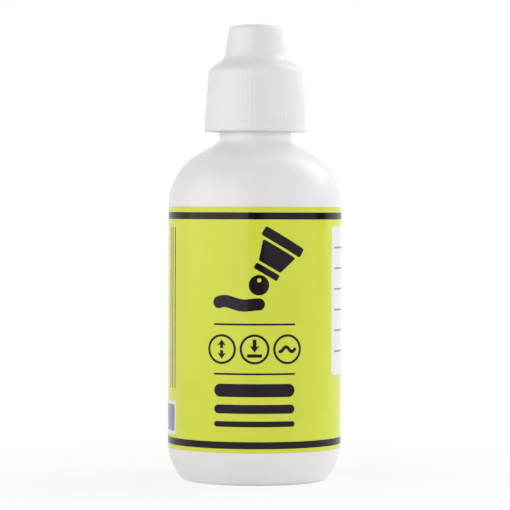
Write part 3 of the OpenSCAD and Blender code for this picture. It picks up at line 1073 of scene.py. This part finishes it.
def make_side_panels():
    """Ruled panel on the right, a coloured patch and upright lines on the left, ragged lines behind."""
    printed("label_panels", [
        [panel(NOTE_LOW, NOTE_HIGH, NOTE_CORNER)],
        [panel(PATCH_LOW, PATCH_HIGH, PATCH_CORNER)],
    ], panel_white)
    left = NOTE_LOW[0] + NOTE_INSET
    right = NOTE_HIGH[0] - NOTE_INSET
    inked = [[rule(left, right, NOTE_RULE_Z + NOTE_RULE_STEP * i)] for i in range(NOTE_RULES)]
    inked.append([panel(
        (PATCH_LOW[0] + PATCH_INSET, PATCH_LOW[1] + PATCH_INSET),
        (PATCH_HIGH[0] - PATCH_INSET, PATCH_HIGH[1] - PATCH_INSET), PATCH_INK_CORNER)])
    printed("label_panel_print", inked, ink_violet, 1)
    low, high = UPRIGHT_Z
    lines = [[panel((x, low), (x + UPRIGHT_W, high), UPRIGHT_CORNER)] for x in UPRIGHTS_X]
    for i in range(RAGGED_COUNT):
        end = RAGGED_X + RAGGED_LENGTHS[i % len(RAGGED_LENGTHS)]
        low = RAGGED_Z - RAGGED_STEP * i
        lines.append([panel((RAGGED_X, low), (end, low + RAGGED_W), RAGGED_CORNER)])
    printed("label_fine_print", lines, ink_black)


# Stage, light and camera

def seen_ray(tree):
    """1 for the rays by which the camera sees a thing, straight, mirrored or through glass."""
    path = tree.nodes.new("ShaderNodeLightPath")
    value = path.outputs["Is Camera Ray"]
    for ray in ("Is Glossy Ray", "Is Transmission Ray"):
        either = tree.nodes.new("ShaderNodeMath")
        either.operation = "MAXIMUM"
        tree.links.new(value, either.inputs[0])
        tree.links.new(path.outputs[ray], either.inputs[1])
        value = either.outputs["Value"]
    return value


def make_floor():
    """A white floor, which keeps the object's shadow near it and is plain white further off."""
    bpy.ops.mesh.primitive_plane_add(size=FLOOR_SIZE, location=(0, 0, -FLOOR_GAP * MM))
    floor = bpy.context.object
    floor.name = "floor"
    material = bpy.data.materials.new("floor_white")
    material.use_nodes = True
    tree = material.node_tree
    shader = tree.nodes["Principled BSDF"]
    shader.inputs["Base Color"].default_value = (FLOOR_GREY, FLOOR_GREY, FLOOR_GREY, 1)
    shader.inputs["Roughness"].default_value = 0.9
    shader.inputs["Specular IOR Level"].default_value = 0.1
    glow = tree.nodes.new("ShaderNodeEmission")
    mix = tree.nodes.new("ShaderNodeMixShader")
    place = tree.nodes.new("ShaderNodeTexCoord")
    far = tree.nodes.new("ShaderNodeVectorMath")
    far.operation = "LENGTH"
    tree.links.new(place.outputs["Object"], far.inputs[0])
    share = tree.nodes.new("ShaderNodeMapRange")
    share.inputs["From Min"].default_value = SHADOW_NEAR
    share.inputs["From Max"].default_value = SHADOW_FAR
    share.inputs["To Min"].default_value = SHADOW_GLOW
    share.inputs["To Max"].default_value = 1
    tree.links.new(far.outputs["Value"], share.inputs["Value"])
    factor = tree.nodes.new("ShaderNodeMath")
    factor.operation = "MULTIPLY"
    tree.links.new(seen_ray(tree), factor.inputs[0])
    tree.links.new(share.outputs["Result"], factor.inputs[1])
    tree.links.new(factor.outputs["Value"], mix.inputs["Fac"])
    tree.links.new(shader.outputs["BSDF"], mix.inputs[1])
    tree.links.new(glow.outputs["Emission"], mix.inputs[2])
    tree.links.new(mix.outputs["Shader"], tree.nodes["Material Output"].inputs["Surface"])
    floor.data.materials.append(material)


def make_world():
    """White to the camera and in reflections, and a softer light on the object, least from above."""
    world = bpy.data.worlds.new("studio")
    bpy.context.scene.world = world
    world.use_nodes = True
    tree = world.node_tree
    background = tree.nodes["Background"]
    background.inputs["Color"].default_value = (1, 1, 1, 1)
    place = tree.nodes.new("ShaderNodeTexCoord")
    axes = tree.nodes.new("ShaderNodeSeparateXYZ")
    tree.links.new(place.outputs["Generated"], axes.inputs["Vector"])
    sky = tree.nodes.new("ShaderNodeMapRange")
    sky.inputs["To Min"].default_value = SKY_LOW
    sky.inputs["To Max"].default_value = SKY_HIGH
    tree.links.new(axes.outputs["Z"], sky.inputs["Value"])
    level = tree.nodes.new("ShaderNodeMapRange")
    tree.links.new(sky.outputs["Result"], level.inputs["To Min"])
    level.inputs["To Max"].default_value = 1
    tree.links.new(seen_ray(tree), level.inputs["Value"])
    tree.links.new(level.outputs["Result"], background.inputs["Strength"])


def softbox(name, place, size, level, aim_z, colour, mirrored=True):
    """A lamp with a flat face, aimed at a height on the axis. level is its brightness, where 1 is white."""
    lamp = bpy.data.lights.new(name, "AREA")
    lamp.shape = "RECTANGLE"
    lamp.size, lamp.size_y = size
    lamp.energy = level * math.pi * size[0] * size[1]
    lamp.color = colour
    holder = bpy.data.objects.new(name, lamp)
    holder.location = place
    aim = Vector((0, 0, aim_z)) - Vector(place)
    holder.rotation_euler = aim.to_track_quat("-Z", "Y").to_euler()
    holder.visible_camera = False
    holder.visible_glossy = mirrored
    bpy.context.scene.collection.objects.link(holder)


def flag(name, place, size, level):
    """A dark card that only shows in reflections, as the gap between two softboxes."""
    bpy.ops.mesh.primitive_plane_add(size=1)
    card = bpy.context.object
    card.name = name
    card.location = place
    card.rotation_euler = (OBJECT_MIDDLE - Vector(place)).to_track_quat("Z", "Y").to_euler()
    card.scale = (size[0], size[1], 1)
    card.visible_camera = False
    card.visible_diffuse = False
    card.visible_shadow = False
    card.visible_transmission = False
    material = bpy.data.materials.new(name)
    material.use_nodes = True
    tree = material.node_tree
    glow = tree.nodes.new("ShaderNodeEmission")
    glow.inputs["Color"].default_value = (level, level, level, 1)
    tree.links.new(glow.outputs["Emission"], tree.nodes["Material Output"].inputs["Surface"])
    card.data.materials.append(material)


def make_lights():
    """Softboxes left, right and behind, a low fill, and the dark gaps that the label mirrors."""
    softbox(
        "left_softbox", place=(-0.664, -0.537, 0.44), size=(1.77, 0.88), level=1.25, aim_z=0.44,
        colour=WARM_WHITE)
    softbox(
        "right_softbox", place=(0.84, 0.04, 0.26), size=(1.2, 1.0), level=1.65, aim_z=0.26,
        colour=COOL_WHITE, mirrored=False)
    softbox(
        "front_fill", place=(0, -0.8, 0.16), size=(1.2, 0.3), level=0.3, aim_z=0.08,
        colour=PLAIN_WHITE, mirrored=False)
    softbox(
        "rear_softbox", place=(0.66, 0.5, 0.72), size=(0.6, 0.6), level=2.4, aim_z=0.05,
        colour=COOL_WHITE)
    flag("front_flag", place=(0.023, -0.95, 0.1), size=(0.35, 1.2), level=0.04)
    flag("right_flag", place=(0.94, 0.115, 0.1), size=(0.32, 0.4), level=0.1)


def make_camera():
    camera = bpy.data.cameras.new("photo_camera")
    camera.lens = LENS
    camera.sensor_width = SENSOR_W
    holder = bpy.data.objects.new("photo_camera", camera)
    holder.location = CAMERA_PLACE
    holder.rotation_euler = (math.radians(90 - CAMERA_DIP), math.radians(CAMERA_ROLL), 0)
    bpy.context.scene.collection.objects.link(holder)
    bpy.context.scene.camera = holder


make_bottle()
make_threads()
make_cap()
make_plug()
make_socket()
make_ball()
make_spring()
dress_inner_nodes()
make_label()
make_emblem()
make_signs()
make_strokes()
make_side_panels()
make_floor()
make_world()
make_lights()
make_camera()
bpy.context.scene.view_settings.view_transform = "Standard"
